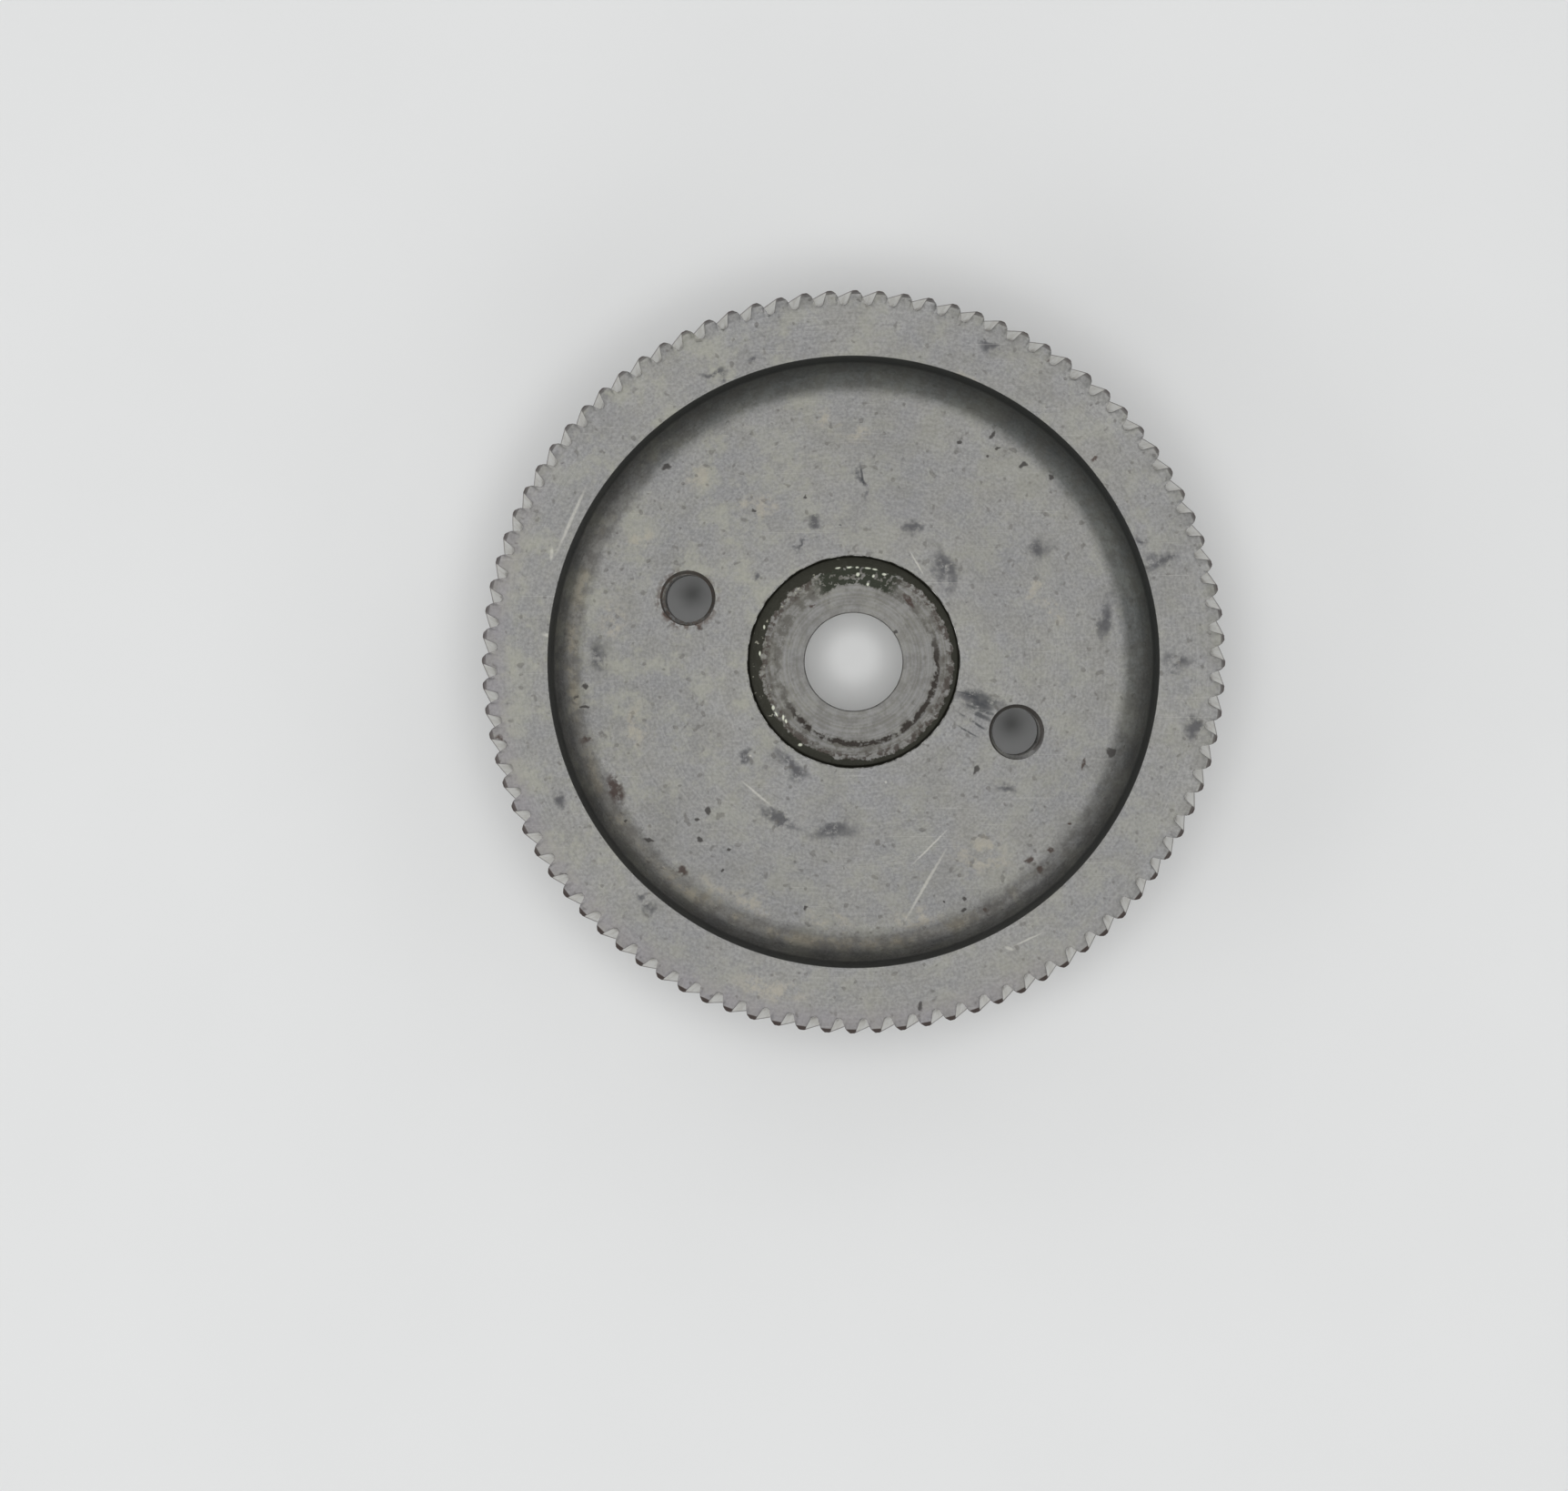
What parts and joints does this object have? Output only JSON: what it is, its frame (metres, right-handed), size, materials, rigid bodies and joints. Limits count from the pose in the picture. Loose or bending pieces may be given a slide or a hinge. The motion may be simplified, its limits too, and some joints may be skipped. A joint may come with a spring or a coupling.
{
  "type": "magneto pinion",
  "caption": "Helical gear wheel with a deep round recess, a nut seat, a tapered centre bore and tapped puller holes in its web; worn, stained steel.",
  "frame": {"origin": "centre of the hub's end face, on the bore axis, where the gear stands", "axes": "+Z along the bore axis towards the nut side; +X to the right as the nut side is seen in the picture, with the puller holes about 22 degrees clockwise of the X axis"},
  "size_m": [0.1008, 0.1008, 0.021],
  "materials": {
    "gear_steel": "satin turned steel with old brown and grey stains"
  },
  "bodies": {
    "root": {"magneto_pinion": "gear_steel"}
  },
  "joints": []
}
